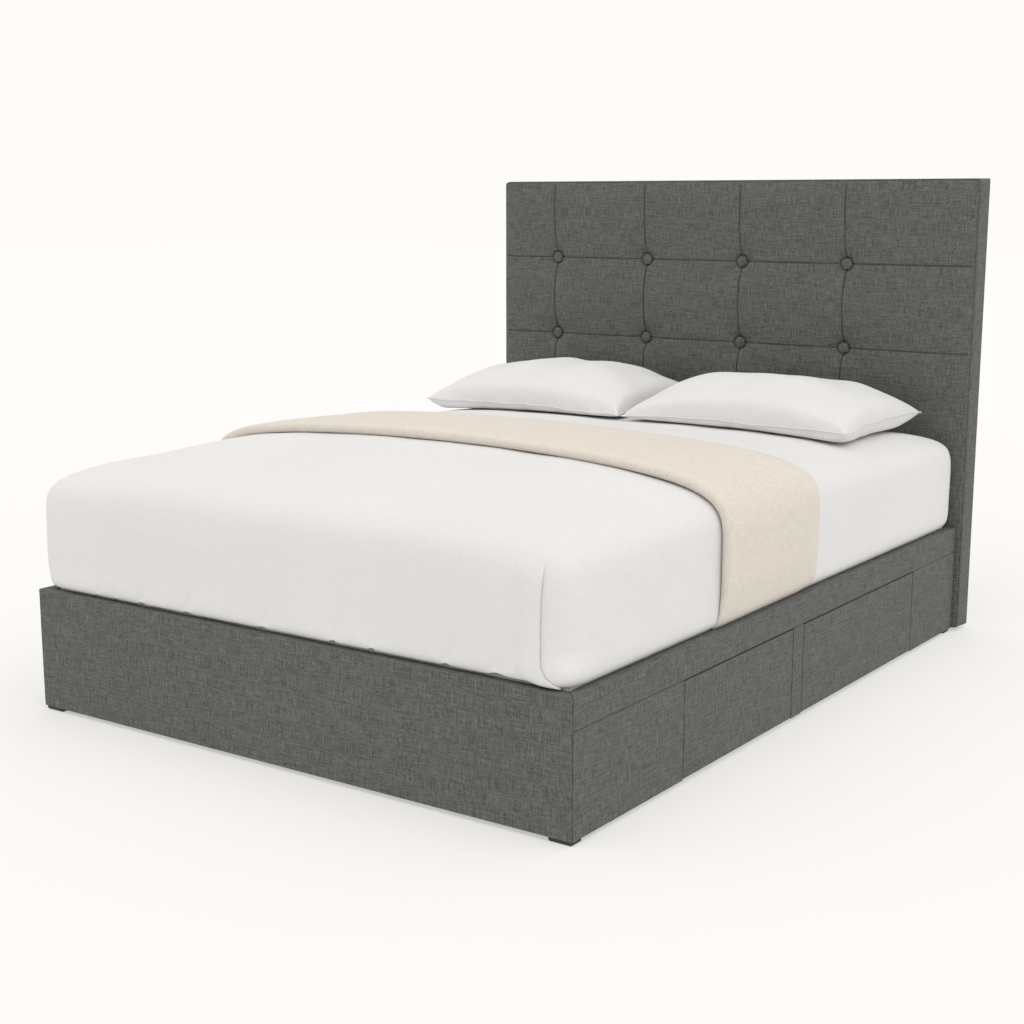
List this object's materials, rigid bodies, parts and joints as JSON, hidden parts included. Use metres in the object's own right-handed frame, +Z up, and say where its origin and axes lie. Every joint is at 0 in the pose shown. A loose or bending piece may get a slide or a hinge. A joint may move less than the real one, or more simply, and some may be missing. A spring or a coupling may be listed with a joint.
{
  "type": "platform bed with storage drawers",
  "caption": "Upholstered platform bed on a low box base with sliding storage drawers in both sides, a button-tufted headboard, a mattress with tucked cover, folded throw and pillows.",
  "frame": {"origin": "on the floor, at the middle of the whole bed's length and width", "axes": "+Y along the bed from the foot to the headboard, +Z up, +X towards the right-hand drawers as seen from the foot looking at the headboard"},
  "size_m": [1.64, 2.145, 1.32],
  "materials": {
    "panel_board": "raw fibreboard",
    "charcoal_linen": "charcoal slub linen weave, matt",
    "inner_board": "raw particle board",
    "pine": "planed softwood",
    "black_plastic": "matt moulded",
    "zinc_steel": "zinc plated",
    "hardboard": "smooth hardboard",
    "foam": "open-cell foam",
    "black_cloth": "non-woven dust cloth",
    "twine": "waxed upholstery twine",
    "mattress_ticking": "quilted ticking",
    "white_cotton": "plain white cotton, softly creased",
    "beige_knit": "warm beige fine-woven blanket",
    "pillow_cotton": "smooth white cotton with corded edge",
    "drawer_ply": "clear-coated plywood",
    "drawer_bottom_ply": "thin plywood"
  },
  "bodies": {
    "root": {"foot_panel_board": "panel_board", "side_rail_right": "panel_board", "side_rail_left": "panel_board", "side_panels_right": "panel_board", "side_panels_left": "panel_board", "foot_panel_cover": "charcoal_linen", "side_cover_right": "charcoal_linen", "side_cover_left": "charcoal_linen", "headboard_cover": "charcoal_linen", "headboard_buttons": "charcoal_linen", "head_cross_board": "inner_board", "centre_spine": "inner_board", "foot_bay_partitions": "inner_board", "head_bay_partitions": "inner_board", "slat_bearers": "pine", "deck_slats": "pine", "headboard_frame": "pine", "glide_feet": "black_plastic", "runner_channels": "zinc_steel", "corner_brackets": "zinc_steel", "corner_bolts": "zinc_steel", "headboard_brackets": "zinc_steel", "headboard_bolts": "zinc_steel", "headboard_face_board": "hardboard", "headboard_foam": "foam", "headboard_back_cloth": "black_cloth", "button_ties": "twine", "mattress": "mattress_ticking", "bed_cover": "white_cotton", "throw": "beige_knit", "pillow_right": "pillow_cotton", "pillow_left": "pillow_cotton"},
    "drawer_foot_right": {"drawer_foot_right_front_board": "panel_board", "drawer_foot_right_front_cover": "charcoal_linen", "drawer_foot_right_box": "drawer_ply", "drawer_foot_right_bottom": "drawer_bottom_ply", "drawer_foot_right_runner_inner": "zinc_steel"},
    "drawer_foot_right_middle": {"drawer_foot_right_runner_middle": "zinc_steel"},
    "drawer_head_right": {"drawer_head_right_front_board": "panel_board", "drawer_head_right_front_cover": "charcoal_linen", "drawer_head_right_box": "drawer_ply", "drawer_head_right_bottom": "drawer_bottom_ply", "drawer_head_right_runner_inner": "zinc_steel"},
    "drawer_head_right_middle": {"drawer_head_right_runner_middle": "zinc_steel"},
    "drawer_foot_left": {"drawer_foot_left_front_board": "panel_board", "drawer_foot_left_front_cover": "charcoal_linen", "drawer_foot_left_box": "drawer_ply", "drawer_foot_left_bottom": "drawer_bottom_ply", "drawer_foot_left_runner_inner": "zinc_steel"},
    "drawer_foot_left_middle": {"drawer_foot_left_runner_middle": "zinc_steel"},
    "drawer_head_left": {"drawer_head_left_front_board": "panel_board", "drawer_head_left_front_cover": "charcoal_linen", "drawer_head_left_box": "drawer_ply", "drawer_head_left_bottom": "drawer_bottom_ply", "drawer_head_left_runner_inner": "zinc_steel"},
    "drawer_head_left_middle": {"drawer_head_left_runner_middle": "zinc_steel"}
  },
  "joints": [
    {"name": "drawer_foot_right_slide", "type": "slide", "parent": "root", "child": "drawer_foot_right", "axis": [1, 0, 0], "range_m": [0, 0.48]},
    {"name": "drawer_foot_right_middle_slide", "type": "slide", "parent": "root", "child": "drawer_foot_right_middle", "axis": [1, 0, 0], "range_m": [0, 0.24]},
    {"name": "drawer_head_right_slide", "type": "slide", "parent": "root", "child": "drawer_head_right", "axis": [1, 0, 0], "range_m": [0, 0.48]},
    {"name": "drawer_head_right_middle_slide", "type": "slide", "parent": "root", "child": "drawer_head_right_middle", "axis": [1, 0, 0], "range_m": [0, 0.24]},
    {"name": "drawer_foot_left_slide", "type": "slide", "parent": "root", "child": "drawer_foot_left", "axis": [-1, 0, 0], "range_m": [0, 0.48]},
    {"name": "drawer_foot_left_middle_slide", "type": "slide", "parent": "root", "child": "drawer_foot_left_middle", "axis": [-1, 0, 0], "range_m": [0, 0.24]},
    {"name": "drawer_head_left_slide", "type": "slide", "parent": "root", "child": "drawer_head_left", "axis": [-1, 0, 0], "range_m": [0, 0.48]},
    {"name": "drawer_head_left_middle_slide", "type": "slide", "parent": "root", "child": "drawer_head_left_middle", "axis": [-1, 0, 0], "range_m": [0, 0.24]}
  ],
  "couplings": [
    {"joint": "drawer_foot_right_middle_slide", "follows": "drawer_foot_right_slide", "ratio": 0.5},
    {"joint": "drawer_head_right_middle_slide", "follows": "drawer_head_right_slide", "ratio": 0.5},
    {"joint": "drawer_foot_left_middle_slide", "follows": "drawer_foot_left_slide", "ratio": 0.5},
    {"joint": "drawer_head_left_middle_slide", "follows": "drawer_head_left_slide", "ratio": 0.5}
  ]
}
